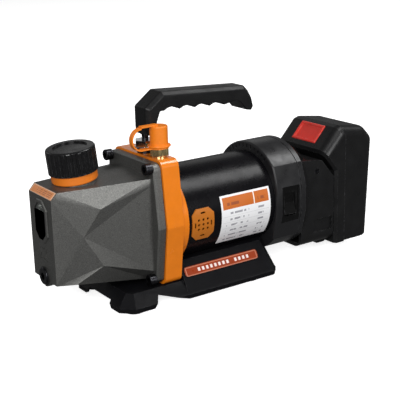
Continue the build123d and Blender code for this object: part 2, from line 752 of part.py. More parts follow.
def switch_rocker():
    """The rocker, with two sloping faces that meet in a shallow valley, tipped to off."""
    face = [
        (-4.6, ROCKER_HALF_Z), (-1.9, 0), (-4.6, -ROCKER_HALF_Z),
        (0.5, -ROCKER_HALF_Z + 0.6), (7, -4), (7, 4), (0.5, ROCKER_HALF_Z - 0.6),
    ]
    rocker = cross_prism(cross_face(face), -ROCKER_HALF_X, ROCKER_HALF_X)
    return Pos(SWITCH_X, ROCKER_Y, SWITCH_Z) * Rot(-ROCKER_TILT, 0, 0) * rocker


def dock_outline(inset):
    """The side outline of the dock's block, as (x, z) points: its top slopes down to the battery."""
    end = BATTERY_X - DOCK_GAP
    return [
        (DOCK_X - 12, DOCK_BOTTOM + inset), (end - inset, DOCK_BOTTOM + inset),
        (end - inset, 81), (DOCK_X + 13, 100 - inset), (DOCK_X - 12, 103 - inset),
    ]


def battery_dock():
    """The rear cover: it narrows from the collar to the block that carries the battery."""
    near = Pos(COLLAR_END, 0, 0) * collar_outline(0)
    far = Pos(DOCK_X, 0, 0) * collar_outline(12)
    neck = loft([near, far])
    block = side_prism(dock_outline(0), -DOCK_HALF, DOCK_HALF)
    block = fillet(block.edges().filter_by(Axis.X).sort_by(Axis.Z)[:2], 11)
    inner_near = Pos(COLLAR_END, 0, 0) * collar_outline(COLLAR_WALL)
    inner_far = Pos(DOCK_X, 0, 0) * collar_outline(12 + COLLAR_WALL)
    solid = neck + block
    solid -= loft([inner_near, inner_far])
    solid -= side_prism(dock_outline(DOCK_WALL), -DOCK_HALF + DOCK_WALL, DOCK_HALF - DOCK_WALL)
    lug = box((DOCK_X + 16, BATTERY_X - DOCK_GAP), (-25, 25), (DOCK_BOTTOM - 4, DOCK_BOTTOM + 3))
    solid += fillet(lug.edges().filter_by(Axis.Y).sort_by(Axis.Z)[:2], 2.5)
    solid += box((BATTERY_X - DOCK_GAP - DOCK_WALL, BATTERY_X + RAIL_STEP), (-STEM_HALF, STEM_HALF), TONGUE_Z)
    solid += box((BATTERY_X + RAIL_STEP, BATTERY_X + TONGUE_DEPTH), (-RAIL_HALF, RAIL_HALF), TONGUE_Z)
    notch = box((DOCK_X + 3, BATTERY_X - 4), (-DOCK_HALF, -DOCK_HALF + 2), (28, 41))
    recess = Pos(DOCK_SCREW_X, -DOCK_HALF + 1, DOCK_SCREW_Z) * Rot(90, 0, 0) * Cylinder(3.2, 2)
    hole = Pos(DOCK_SCREW_X, -DOCK_HALF + 3, DOCK_SCREW_Z) * Rot(90, 0, 0) * Cylinder(1.6, 6)
    return solid - mirrored(notch) - mirrored(recess) - mirrored(hole)


def housing_screws():
    """One screw on each side of the dock."""
    head = Pos(DOCK_SCREW_X, -DOCK_HALF + 1.3, DOCK_SCREW_Z) * Rot(90, 0, 0) * Cylinder(2.8, 1.4)
    shank = Pos(DOCK_SCREW_X, -DOCK_HALF + 6, DOCK_SCREW_Z) * Rot(90, 0, 0) * Cylinder(1.55, 8)
    cross = box((DOCK_SCREW_X - 1.6, DOCK_SCREW_X + 1.6), (-DOCK_HALF, -DOCK_HALF + 1.3),
                (DOCK_SCREW_Z - 0.4, DOCK_SCREW_Z + 0.4))
    upright = box((DOCK_SCREW_X - 0.4, DOCK_SCREW_X + 0.4), (-DOCK_HALF, -DOCK_HALF + 1.3),
                  (DOCK_SCREW_Z - 1.6, DOCK_SCREW_Z + 1.6))
    screw = head + shank - cross - upright
    return [screw, mirror(screw, Plane.XZ)]


def terminal_block():
    """The insulating block on the dock's tongue."""
    return box((BATTERY_X + 0.6, BATTERY_X + TONGUE_DEPTH), (-19, 19), (TONGUE_Z[1], TONGUE_Z[1] + 4))


def terminal_blades():
    """The blades that plug into the battery."""
    x = (BATTERY_X + 2, BATTERY_X + 7)
    z = (TONGUE_Z[1] + 4, TONGUE_Z[1] + 13)
    return [box(x, (y - 0.5, y + 0.5), z) for y in BLADE_Y]


def controller_board():
    """The motor controller: its board, capacitors and power transistors."""
    pcb = box((COLLAR_END + 3, COLLAR_END + 4.6), (-29, 29), (AXIS_Z - 30, AXIS_Z + 24))
    parts = [pcb]
    for y in (-16, 0, 16):
        parts.append(rod(COLLAR_END - 12, COLLAR_END + 3, 5, y, AXIS_Z + 14))
        parts.append(box((COLLAR_END - 1.5, COLLAR_END + 3), (y - 5, y + 5), (AXIS_Z - 22, AXIS_Z - 8)))
    return parts


# ---- Battery ----

def battery_profile(inset, x_low, x_high):
    """A side slice of the battery between two stations, set in by a wall."""
    lean = (BATTERY_END - 5, BATTERY_BOTTOM + inset)
    outline = [
        (BATTERY_X + inset, BATTERY_BOTTOM + inset), (BATTERY_X + inset, 86 + inset * 0.4),
        (HEAD_LOW[0] + inset * 1.4, HEAD_LOW[1]), (HEAD_HIGH[0] + inset * 0.4, HEAD_HIGH[1] - inset),
        (BATTERY_X + 9, BATTERY_TOP - inset), (BATTERY_END - 12, BATTERY_TOP - 4 - inset),
        (BATTERY_END - inset, BATTERY_TOP - 16), (lean[0] - inset, lean[1]),
    ]
    half = BATTERY_HALF - inset
    whole = side_prism(outline, -half, half)
    window = box((x_low, x_high), (-half, half), (0, BATTERY_TOP + 5))
    return whole & window


def button_place(depth):
    """The middle of the sloping face, at a depth below it, with local X up the slope."""
    rise = math.degrees(math.atan2(HEAD_HIGH[1] - HEAD_LOW[1], HEAD_HIGH[0] - HEAD_LOW[0]))
    middle = (HEAD_LOW[0] * 0.38 + HEAD_HIGH[0] * 0.62, 0, HEAD_LOW[1] * 0.38 + HEAD_HIGH[1] * 0.62)
    return Pos(*middle) * Rot(0, -rise, 0) * Pos(0, 0, -depth)


def battery_front_case():
    """The half of the battery case that slides on the dock's tongue."""
    solid = battery_profile(0, HEAD_LOW[0] - 1, BATTERY_SEAM)
    solid = fillet(solid.edges().filter_by(is_shoulder), SHOULDER_R)
    solid = chamfer(solid.edges().filter_by(is_front_corner), 2.5)
    stem = (-STEM_HALF - 0.4, STEM_HALF + 0.4)
    rail = (-RAIL_HALF - 0.4, RAIL_HALF + 0.4)
    slot_z = (BATTERY_BOTTOM - 1, TONGUE_Z[1] + 5)
    solid -= box((BATTERY_X - 1, BATTERY_X + RAIL_STEP), stem, slot_z)
    solid -= box((BATTERY_X + RAIL_STEP - 0.4, BATTERY_X + TONGUE_DEPTH + 0.4), rail, slot_z)
    contact_z = (TONGUE_Z[1] + 4, TONGUE_Z[1] + 16)
    solid -= box((BATTERY_X - 1, BATTERY_X + TONGUE_DEPTH + 0.4), (-17, 17), contact_z)
    solid -= box((BATTERY_X + 8, BATTERY_SEAM), (-17, 17), contact_z)
    for y, z in BATTERY_SCREWS:
        solid -= rod(BATTERY_SEAM - 6, BATTERY_SEAM, 1.55, y, z)
    pocket = button_place(3.5) * Box(BUTTON_L + 2 * GAP, 2 * (BUTTON_HALF + GAP), 12)
    return solid - pocket


def is_shoulder(edge):
    """True for the side edges of the battery's sloping head and of its top."""
    on_side = abs(abs(edge.center().Y) - BATTERY_HALF) < 0.01
    return on_side and edge.center().Z > 105 and abs(edge.tangent_at(0.5).X) > 0.1


def is_front_corner(edge):
    """True for the lower side edges of the battery's front, away from the seam."""
    centre = edge.center()
    on_side = abs(abs(centre.Y) - BATTERY_HALF) < 0.01
    return on_side and centre.X < BATTERY_SEAM - 1 and centre.Z < 104 and edge.length > 12


def battery_rear_block(inset):
    """The rear part of the battery, set in by a wall, with its upper and rear edges rounded."""
    solid = battery_profile(inset, BATTERY_SEAM + (0.1 if inset == 0 else 0), BATTERY_END)
    solid = fillet(solid.edges().filter_by(is_upper_rear), SHOULDER_R + 1 - inset)
    solid = fillet(solid.edges().filter_by(lambda e: is_rear_outline(e, inset)), SHOULDER_R - inset)
    if inset > 0:
        return solid
    foot = [e for e in solid.edges() if abs(e.center().Z - BATTERY_BOTTOM) < 0.6 and e.center().X > BATTERY_END - 16]
    return fillet(foot, 3.0)


def is_rear_outline(edge, inset):
    """True for the side edges along the top and the rear of the battery's rear part."""
    centre = edge.center()
    on_side = abs(abs(centre.Y) - BATTERY_HALF + inset) < 0.01
    return on_side and centre.Z > BATTERY_BOTTOM + inset + 1 and centre.X > BATTERY_SEAM + 0.3


def is_upper_rear(edge):
    """True for the edges that run across the battery at the top of its rear."""
    across = abs(edge.tangent_at(0.5).Y) > 0.9
    return across and edge.center().X > BATTERY_END - 20 and edge.center().Z > 100


def battery_rear_case():
    """The half of the battery case that holds the cells."""
    solid = battery_rear_block(0) - battery_rear_block(BATTERY_WALL)
    for y, z in BATTERY_SCREWS:
        solid += rod(BATTERY_SEAM + 26, BATTERY_SEAM + 30, 3.6, y, z)
        solid -= rod(BATTERY_SEAM, BATTERY_END, 1.6, y, z)
        solid -= rod(BATTERY_SEAM + 30, BATTERY_END, 3.2, y, z)
    return solid


def battery_screws():
    """Four screws that hold the battery case together."""
    screws = []
    for y, z in BATTERY_SCREWS:
        head = rod(BATTERY_SEAM + 30, BATTERY_SEAM + 32.2, 3.0, y, z)
        head -= Pos(BATTERY_SEAM + 31, y, z) * Rot(0, 90, 0) * extrude(RegularPolygon(1.5, 6), 1.5)
        screws.append(head + rod(BATTERY_SEAM - 6, BATTERY_SEAM + 30, 1.55, y, z))
    return screws


def battery_cells():
    """Five round cells that lie across the battery."""
    cells = []
    for step in range(CELLS):
        z = BATTERY_BOTTOM + BATTERY_WALL + CELL_R + 3.5 + step * CELL_PITCH
        cells.append(Pos(BATTERY_SEAM + 16, 0, z) * Rot(90, 0, 0) * Cylinder(CELL_R, CELL_L))
    return cells


def battery_board():
    """The battery's circuit board with a pair of contact springs for each blade."""
    board = box((BATTERY_SEAM + 1.2, BATTERY_SEAM + 2.8), (-28, 28), (22, 112))
    for y in BLADE_Y:
        for side in (-1, 1):
            spring_y = sorted((y + side * 0.8, y + side * 1.5))
            board += box((BATTERY_X + 3, BATTERY_SEAM + 1.2), spring_y, (TONGUE_Z[1] + 6, TONGUE_Z[1] + 14))
    return board


def release_button():
    """The sloping release button, with a dished face."""
    thick = 4.0
    body = button_place(thick / 2 - 0.9) * Box(BUTTON_L, 2 * BUTTON_HALF, thick)
    outward = body.faces().filter_by(lambda f: f.normal_at().Z > 0.5)
    body = chamfer(outward.edges(), 0.7)
    dish = button_place(0.9) * Pos(0, 0, 1.8) * Box(BUTTON_L - 4.6, 2 * BUTTON_HALF - 4.6, 3.4)
    rims = dish.faces().sort_by(Axis((0, 0, 0), (-0.7, 0, 0.7)))[0].edges()
    return body - chamfer(rims, 0.9)


def button_spring():
    """The coil spring below the release button."""
    turns = Helix(pitch=0.9, height=2.2, radius=3.0)
    start = Plane(origin=turns @ 0, z_dir=turns % 0)
    coil = sweep(start * Circle(0.3), turns, is_frenet=True)
    return button_place(9.2) * coil


# ---- Handle and ports ----

def handle():
    """The carrying handle: a post, a bar with finger grips and a hooked end."""
    foot_x = PORT_X
    first = foot_x + 14.2
    pitch = 16.1
    grips = [(first + i * pitch, 166.9 - i * 0.85) for i in range(5)]
    back = [
        (foot_x - 3.2, HANDLE_FOOT_Z), (foot_x - 4.5, 152), (foot_x - 4.5, 171),
        (foot_x + 12.5, 183.8), (foot_x + 103, 178.3), (foot_x + 108, 173),
        (foot_x + 112, 158), (foot_x + 109.5, 154.5), (foot_x + 104, 155.5),
        (foot_x + 97.5, 163.5), (foot_x + 93, 165.8), grips[-1],
    ]
    lines = Polyline(*back)
    edges = list(lines.edges())
    for low, high in zip(reversed(grips[1:]), reversed(grips[:-1])):
        middle = ((low[0] + high[0]) / 2, (low[1] + high[1]) / 2 + 2.9)
        edges += ThreePointArc(low, middle, high).edges()
    front = Polyline(grips[0], (foot_x + 9.6, 166.8), (foot_x + 6, 157.6), (foot_x + 4.6, 150),
                     (foot_x + 3.2, HANDLE_FOOT_Z), back[0])
    face = Plane.XZ * make_face(Wire(edges + list(front.edges())))
    solid = Pos(0, -HANDLE_HALF, 0) * extrude(face, 2 * HANDLE_HALF, dir=(0, 1, 0))
    solid = chamfer(solid.edges().filter_by(lambda e: is_upper_handle_edge(e)), 3.4)
    return solid - post(PORT_X, 0, HANDLE_FOOT_Z, HANDLE_FOOT_Z + 14, STUD_R)


def is_upper_handle_edge(edge):
    """True for the long outer edges along the handle's front and top."""
    centre = edge.center()
    on_side = abs(abs(centre.Y) - HANDLE_HALF) < 0.01
    return on_side and (centre.Z > 175 or (centre.X < PORT_X - 4 and edge.length > 8))


def handle_stud():
    """The threaded stud that carries the handle, with its round base."""
    return post(PORT_X, 0, BRACKET_TOP - 12, HANDLE_FOOT_Z + 13, STUD_R) + post(
        PORT_X, 0, BRACKET_TOP, BRACKET_TOP + 5, 7.6)


def handle_nut():
    """The hexagon nut below the handle."""
    nut = hex_post(PORT_X, 0, BRACKET_TOP + 5, BRACKET_TOP + 11.5, 17)
    washer = post(PORT_X, 0, BRACKET_TOP + 5, BRACKET_TOP + 6, 9.6)
    return nut + washer - post(PORT_X, 0, BRACKET_TOP, BRACKET_TOP + 12, STUD_R)


def intake_fitting():
    """The flare fitting that the hose screws on."""
    solid = post(PORT_X, INTAKE_Y, BRACKET_TOP - 12, BRACKET_TOP + 2, 6.4)
    solid += hex_post(PORT_X, INTAKE_Y, BRACKET_TOP + 2, BRACKET_TOP + 8, 16)
    solid += post(PORT_X, INTAKE_Y, BRACKET_TOP + 8, BRACKET_TOP + 20, FLARE_R)
    cone = Pos(PORT_X, INTAKE_Y, BRACKET_TOP + 21.5) * Cone(FLARE_R, 3.4, 3)
    bore = post(PORT_X, INTAKE_Y, BRACKET_TOP - 12, BRACKET_TOP + 23, 2.4)
    return solid + cone - bore


def intake_screen():
    """The fine screen in the intake passage."""
    return post(PORT_X, INTAKE_Y, BRACKET_TOP - 14, BRACKET_TOP - 12, PASSAGE_R)


def dust_cap():
    """The soft cap over the intake fitting."""
    body = post(PORT_X, INTAKE_Y, DUST_CAP_Z, DUST_CAP_TOP, DUST_CAP_R)
    body = fillet(body.edges().sort_by(Axis.Z)[-1], 1.2)
    body += post(PORT_X, INTAKE_Y, DUST_CAP_Z, DUST_CAP_Z + 1.2, DUST_CAP_R + 2.3)
    return body - post(PORT_X, INTAKE_Y, DUST_CAP_Z, DUST_CAP_TOP - 4, FLARE_R + 0.4)


def dust_cap_strap():
    """The moulded strap that ties the dust cap to the fitting: a ring and a loop in front of it."""
    low = BRACKET_TOP + 8
    tie = post(PORT_X, INTAKE_Y, low, low + 1.3, 8.6) - post(PORT_X, INTAKE_Y, low, low + 1.3, FLARE_R + 0.05)
    middle = (low + DUST_CAP_TOP) / 2
    reach = DUST_CAP_R + 10.4
    half = (DUST_CAP_TOP + 0.2 - low) / 2
    place = Plane.XZ * Pos(PORT_X - reach, middle)
    bend = ThreePointArc((0, half), (-half, 0), (0, -half))
    inner = ThreePointArc((0, -half + 1.3), (-half + 1.3, 0), (0, half - 1.3))
    ends = [Line(bend @ 1, inner @ 0), Line(inner @ 1, bend @ 0)]
    face = place * make_face(Wire([bend.edge(), inner.edge(), ends[0].edge(), ends[1].edge()]))
    loop = Pos(0, INTAKE_Y - 2.5, 0) * extrude(face, 5, dir=(0, 1, 0))
    strap_y = (INTAKE_Y - 2.5, INTAKE_Y + 2.5)
    upper = box((PORT_X - reach, PORT_X - 2), strap_y, (DUST_CAP_TOP, DUST_CAP_TOP + 1.5))
    lower = box((PORT_X - reach, PORT_X - 6.5), strap_y, (low, low + 1.3))
    return tie + loop + upper + lower


# ---- Base and labels ----

def base_plan(inset):
    """Half-width steps of the base, as a closed plan."""
    half = [
        (BASE_X + inset, BASE_HALF - BASE_CORNER - inset * 0.4),
        (BASE_X + BASE_CORNER + inset * 0.4, BASE_HALF - inset),
        (BASE_END - 8 - inset * 0.4, BASE_HALF - inset),
        (BASE_END - inset, BASE_HALF - 8 - inset * 0.4),
    ]
    return half + [(x, -y) for x, y in reversed(half)]


def cradle_plan(end, half, corner, z):
    """A level slice of the cradle, with its rear corners cut off."""
    side = [(BELL_X + 2, half), (end - corner, half), (end, half - corner)]
    return plan_face(side + [(x, -y) for x, y in reversed(side)], z)


def cradle(inset):
    """The part of the base below the motor tube: it leans in towards its top."""
    low = cradle_plan(BASE_END - inset, BASE_HALF - inset, 8, BASE_LIP - 1)
    high = cradle_plan(BASE_END - 8 - inset, CRADLE_HALF - inset, 5, CRADLE_TOP - inset)
    front = box((BELL_X, BELL_X + 2 + inset), (-BASE_HALF, BASE_HALF), (0, CRADLE_TOP))
    return loft([low, high], ruled=True) - front


def room_above(extra):
    """The room that the motor tube and the collar take up above the base."""
    tube = rod(BELL_X - 1, BASE_END + 1, TUBE_R + GAP + extra)
    return tube + rod(COLLAR_X - 1 - extra, BASE_END + 1, COLLAR_LOW_R + 0.6 + extra)


def base_body(inset):
    """The outer form of the base, set in by its wall."""
    low = plan_face(base_plan(inset), 0)
    tray = extrude(low, BASE_LIP)
    foot = plan_face(base_plan(inset), BASE_LIP)
    deck = plan_face(base_plan(inset + BASE_HALF - DECK_HALF), BRACKET_BOTTOM - inset)
    slope = loft([foot, deck])
    return tray + slope + cradle(inset)


def base():
    """The base: a thin-walled foot with arches between its feet and a saddle for the motor tube."""
    solid = base_body(0)
    solid -= base_body(BASE_WALL) - room_above(BASE_WALL)
    solid -= room_above(0)
    solid -= rod(BELL_X - 1, BELL_END + GAP, TUBE_R + 1.7 + GAP)
    reach = BASE_HALF + 5
    solid -= box((BASE_X - 5, BASE_END + 5), (-reach, reach), (-1, BASE_LIFT))
    arch = [(BASE_X + 29, 0), (BASE_X + 37, 11.5), (BASE_X + 67, BASE_LIFT), (BASE_X + 67, 0)]
    solid -= side_prism(arch, -reach, reach)
    for x in (BASE_X - 1, BASE_END - 12):
        mouth = cross_face([(-24, 0), (-19, 8.3), (19, 8.3), (24, 0)])
        solid -= cross_prism(mouth, x, x + 13)
    for x in FOOT_X:
        for side in (-1, 1):
            solid += post(x, side * FOOT_Y, BASE_LIFT, BASE_LIP + 6, FOOT_R + 2) & base_body(0.5)
            solid -= post(x, side * FOOT_Y, BASE_LIFT - 1, FOOT_H, FOOT_R)
    for side in (-1, 1):
        solid -= post(PORT_X, side * BASE_SCREW_Y, BASE_LIP, BRACKET_BOTTOM, BASE_SCREW_R)
    for x in TUBE_SCREW_X:
        solid -= post(x, 0, BASE_LIP, CRADLE_TOP, BASE_SCREW_R)
    return solid


def rubber_feet():
    """Four round rubber feet."""
    feet = []
    for x in FOOT_X:
        for side in (-1, 1):
            foot = post(x, side * FOOT_Y, 0, FOOT_H, FOOT_R)
            feet.append(fillet(foot.edges().sort_by(Axis.Z)[0], 1.0))
    return feet


def base_screws():
    """Screws from below the base into the bracket and the motor tube."""
    screws = []
    deck = BRACKET_BOTTOM - BASE_WALL
    for side in (-1, 1):
        y = side * BASE_SCREW_Y
        screw = post(PORT_X, y, deck, BRACKET_BOTTOM + 14, BASE_SCREW_R)
        screws.append(screw + post(PORT_X, y, deck - 3, deck, BASE_SCREW_R + 2))
    saddle = AXIS_Z - TUBE_R - GAP - BASE_WALL
    for x in TUBE_SCREW_X:
        screw = post(x, 0, saddle, AXIS_Z - TUBE_R + 4, BASE_SCREW_R)
        screws.append(screw + post(x, 0, saddle - 3, saddle, BASE_SCREW_R + 2))
    return screws


def nameplate():
    """The plate on the sloping side of the base."""
    run = BASE_HALF - CRADLE_HALF
    rise = CRADLE_TOP - BASE_LIP + 1
    lean = math.degrees(math.atan2(run, rise))
    share = 0.36
    middle = Pos((NAMEPLATE_X[0] + NAMEPLATE_X[1]) / 2, -CRADLE_HALF - share * run, CRADLE_TOP - share * rise)
    plate = Box(NAMEPLATE_X[1] - NAMEPLATE_X[0], 0.8, NAMEPLATE_W)
    plate = fillet(plate.edges().filter_by(Axis.Y), 3.0)
    return middle * Rot(-lean, 0, 0) * Pos(0, -0.4, 0) * plate


def spec_label():
    """The paper label on the side of the motor tube."""
    return sector(LABEL_X[0], LABEL_X[1], TUBE_R + 0.3, TUBE_R, 180 - 24, 180 + 42)


# Places that follow from the sizes above
CAP_PLACE = Pos(CAP_X, 0, CAP_BASE_Z) * Rot(0, -CAP_LEAN, 0)
COUPLING_X = BRACKET_X + 7.6
GRILLE_X = BELL_END + 15.0
GRILLE_Z = AXIS_Z - 3
LABEL_X = (COLLAR_X - 61.5, COLLAR_X - 5.5)
ROCKER_Y = -COLLAR_HALF + 6.2
BASE_SCREW_R = 2.5
BASE_SCREW_Y = 22.0
TUBE_SCREW_X = (BELL_END + 12.0, END_BELL_X - 5.0)
BATTERY_SCREWS = [(side * 30.0, z) for side in (-1, 1) for z in (15.0, 116.0)]

NODES = [
    base, rubber_feet, base_screws, nameplate, centre_bracket, oil_tank, tank_gasket, tank_screws,
    sight_glass, sight_glass_bezel, tank_sticker, drain_plug, drain_washer, filler_seal_ring,
    filler_cap, exhaust_filter, pump_cylinder, pump_front_plate, pump_rear_plate, cylinder_screws,
    exhaust_valve, valve_guard, pump_rotor, rotor_vanes, shaft_seal, drive_coupling, motor_shaft,
    bearing_outer_rings, bearing_inner_rings, motor_tube, vent_grille, stator_core, stator_windings,
    rotor_core, rotor_magnets, end_bell, cooling_fan, spec_label, rear_collar, switch_housing,
    switch_rocker, battery_dock, housing_screws, terminal_block, terminal_blades, controller_board,
    battery_front_case, battery_rear_case, battery_screws, battery_cells, battery_board,
    release_button, button_spring, handle, handle_stud, handle_nut, intake_fitting, intake_screen,
    dust_cap, dust_cap_strap,
]

if __name__ == "__main__":
    os.makedirs("parts", exist_ok=True)
    for make in NODES:
        shape = make()
        if isinstance(shape, list):
            shape = Compound(children=shape)
        export_step(shape, f"parts/{make.__name__}.step")
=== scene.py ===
import json
import math

import bmesh
import bpy
from mathutils import Matrix, Vector


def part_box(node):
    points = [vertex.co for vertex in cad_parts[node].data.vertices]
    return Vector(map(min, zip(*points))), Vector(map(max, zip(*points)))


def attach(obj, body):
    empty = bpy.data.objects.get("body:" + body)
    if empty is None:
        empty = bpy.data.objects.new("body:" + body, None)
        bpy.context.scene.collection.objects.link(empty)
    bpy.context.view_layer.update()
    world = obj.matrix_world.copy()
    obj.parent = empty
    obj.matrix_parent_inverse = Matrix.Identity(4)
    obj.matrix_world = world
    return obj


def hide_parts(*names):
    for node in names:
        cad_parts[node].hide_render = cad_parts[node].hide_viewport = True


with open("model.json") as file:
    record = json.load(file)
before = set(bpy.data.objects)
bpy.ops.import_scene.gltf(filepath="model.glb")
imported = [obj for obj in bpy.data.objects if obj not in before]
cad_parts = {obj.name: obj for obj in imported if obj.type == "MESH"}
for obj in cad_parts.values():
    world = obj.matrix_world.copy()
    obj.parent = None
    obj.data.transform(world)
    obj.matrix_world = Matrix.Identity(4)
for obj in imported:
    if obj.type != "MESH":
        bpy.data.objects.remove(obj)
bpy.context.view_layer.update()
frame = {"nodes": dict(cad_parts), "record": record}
nodes = frame["nodes"]
body_of = {}
for body, members in frame["record"]["behaviour"]["bodies"].items():
    for member in members:
        body_of[member] = body

# The shaft runs along X at the height of the motor tube's middle
TUBE_LOW, TUBE_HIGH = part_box("motor_tube")
AXIS_Z = (TUBE_LOW.z + TUBE_HIGH.z) / 2


# ---- Node materials ----

# An edge shows where the rounded normal leaves the true one: these are cosines
EDGE_SAMPLES = 6
EDGE_STARTS, EDGE_FULL = 0.995, 0.86


class Paint:
    """A procedural material, with its patterns written as small expressions.

    Scales are in cells per metre and distances in metres, on the object's own coordinates.
    """

    def __init__(self, name, color, roughness, metallic=0.0, **sockets):
        self.material = bpy.data.materials.new(name)
        self.material.use_nodes = True
        self.tree = self.material.node_tree
        self.shader = self.tree.nodes["Principled BSDF"]
        self.color = (*color, 1.0)
        self.roughness = roughness
        self.shader.inputs["Base Color"].default_value = self.color
        self.shader.inputs["Roughness"].default_value = roughness
        self.shader.inputs["Metallic"].default_value = metallic
        for label, value in sockets.items():
            self.shader.inputs[label.replace("_", " ")].default_value = value
        self.place = self.node("ShaderNodeTexCoord").outputs["Object"]
        self.normal = None

    def node(self, kind, **settings):
        """Adds a node and sets its properties."""
        made = self.tree.nodes.new(kind)
        for key, value in settings.items():
            setattr(made, key, value)
        return made

    def feed(self, socket, value):
        """Links a socket, or sets its number."""
        if isinstance(value, bpy.types.NodeSocket):
            self.tree.links.new(value, socket)
        else:
            socket.default_value = value

    def math(self, operation, a, b=0.0):
        """One step of arithmetic on sockets or numbers."""
        made = self.node("ShaderNodeMath", operation=operation)
        self.feed(made.inputs[0], a)
        self.feed(made.inputs[1], b)
        return made.outputs[0]

    def noise(self, scale, detail=2.0, stretch=None):
        """Soft noise from 0 to 1, drawn out along an axis where stretch is small."""
        made = self.node("ShaderNodeTexNoise")
        made.inputs["Scale"].default_value = scale
        made.inputs["Detail"].default_value = detail
        place = self.place
        if stretch:
            mapping = self.node("ShaderNodeMapping")
            mapping.inputs["Scale"].default_value = stretch
            self.tree.links.new(place, mapping.inputs["Vector"])
            place = mapping.outputs[0]
        self.tree.links.new(place, made.inputs["Vector"])
        return made.outputs["Fac"]

    def cells(self, scale):
        """A random number for each small cell."""
        made = self.node("ShaderNodeTexVoronoi")
        made.inputs["Scale"].default_value = scale
        self.tree.links.new(self.place, made.inputs["Vector"])
        split = self.node("ShaderNodeSeparateColor")
        self.tree.links.new(made.outputs["Color"], split.inputs[0])
        return split.outputs[0]

    def ramp(self, value, low, high, start=0.0, end=1.0):
        """Maps low..high to start..end, and clamps."""
        made = self.node("ShaderNodeMapRange")
        for index, number in enumerate((value, low, high, start, end)):
            self.feed(made.inputs[index], number)
        return made.outputs[0]

    def blend(self, share, a, b):
        """Mixes colour b into colour a."""
        made = self.node("ShaderNodeMix", data_type="RGBA")
        self.feed(made.inputs["Factor"], share)
        self.feed(made.inputs[6], a)
        self.feed(made.inputs[7], b)
        return made.outputs[2]

    def axes(self):
        """X, Y and Z of the point, as three sockets."""
        split = self.node("ShaderNodeSeparateXYZ")
        self.tree.links.new(self.place, split.inputs[0])
        return split.outputs

    def bump(self, height, distance):
        """Raises the surface by the height times the distance."""
        made = self.node("ShaderNodeBump")
        made.inputs["Strength"].default_value = 1.0
        made.inputs["Distance"].default_value = distance
        self.tree.links.new(height, made.inputs["Height"])
        if self.normal:
            self.tree.links.new(self.normal, made.inputs["Normal"])
        self.normal = made.outputs[0]
        self.tree.links.new(self.normal, self.shader.inputs["Normal"])

    def edges(self, radius):
        """Near 1 along the edges of the shape."""
        soft = self.node("ShaderNodeBevel", samples=EDGE_SAMPLES)
        soft.inputs["Radius"].default_value = radius
        true = self.node("ShaderNodeNewGeometry")
        dot = self.node("ShaderNodeVectorMath", operation="DOT_PRODUCT")
        self.tree.links.new(soft.outputs[0], dot.inputs[0])
        self.tree.links.new(true.outputs["Normal"], dot.inputs[1])
        return self.ramp(dot.outputs["Value"], EDGE_STARTS, EDGE_FULL)

    def set_color(self, value):
        self.feed(self.shader.inputs["Base Color"], value)

    def set_roughness(self, value):
        self.feed(self.shader.inputs["Roughness"], value)

    def shade(self, factor):
        """The material's own colour, lighter or darker."""
        return tuple(min(c * factor, 1.0) for c in self.color[:3]) + (1.0,)


def finish_surface(paint, grain, depth, mottle=0.12, rough_spread=0.08, worn=None, wear_share=0.6):
    """Adds grain, uneven colour, uneven gloss and worn edges to a material."""
    patches = paint.noise(38.0, 3.0)
    color = paint.blend(patches, paint.shade(1 - mottle), paint.shade(1 + mottle))
    speckle = paint.ramp(paint.noise(grain * 0.7, 2.0), 0.35, 0.65, 0.0, 0.35)
    color = paint.blend(speckle, color, paint.shade(1 + mottle * 2))
    if worn:
        broken = paint.ramp(paint.noise(240.0, 3.0), 0.42, 0.62)
        rubbed = paint.math("MULTIPLY", paint.edges(0.0006), broken)
        color = paint.blend(paint.math("MULTIPLY", rubbed, wear_share), color, (*worn, 1.0))
    paint.set_color(color)
    gloss = paint.noise(90.0, 3.0)
    spread = (paint.roughness - rough_spread, paint.roughness + rough_spread)
    paint.set_roughness(paint.ramp(gloss, 0.3, 0.7, *spread))
    paint.bump(paint.noise(grain, 2.0), depth)
    return paint.material


# Black plastic turns this grey where it is rubbed
PALE_WEAR = (0.10, 0.10, 0.105)


def powder_coat():
    """Gunmetal powder coat with bright flakes and rubbed edges."""
    flake_color = (0.34, 0.34, 0.33, 1)
    bare_metal = (0.32, 0.32, 0.31, 1)
    paint = Paint("tank_powder_coat", (0.150, 0.150, 0.143), 0.42, 0.85)
    grain = paint.noise(1500.0, 3.0)
    color = paint.blend(paint.ramp(grain, 0.3, 0.7), paint.shade(0.72), paint.shade(1.3))
    flakes = paint.ramp(paint.cells(2600.0), 0.9, 0.97)
    color = paint.blend(paint.math("MULTIPLY", flakes, 0.3), color, flake_color)
    broken = paint.ramp(paint.noise(200.0, 3.0), 0.4, 0.6)
    rubbed = paint.math("MULTIPLY", paint.edges(0.0007), broken)
    color = paint.blend(paint.math("MULTIPLY", rubbed, 0.35), color, bare_metal)
    paint.set_color(color)
    paint.set_roughness(paint.ramp(paint.noise(700.0, 2.0), 0.3, 0.7, 0.40, 0.52))
    paint.bump(paint.noise(1300.0, 3.0), 0.00006)
    return paint.material


def plastic(name, color, roughness, grain=1100.0, depth=0.00008, worn=PALE_WEAR, specular=0.25):
    """Moulded plastic with a fine grain and paler edges."""
    paint = Paint(name, color, roughness, Specular_IOR_Level=specular)
    return finish_surface(paint, grain, depth, worn=worn)


def gloss_paint(name, color, roughness=0.22):
    """Glossy paint over a cast surface."""
    paint = Paint(name, color, roughness, Coat_Weight=0.5, Coat_Roughness=0.08)
    worn = tuple(min(c * 1.25 + 0.04, 1) for c in color)
    return finish_surface(paint, 160.0, 0.00012, mottle=0.07, rough_spread=0.06, worn=worn, wear_share=0.5)


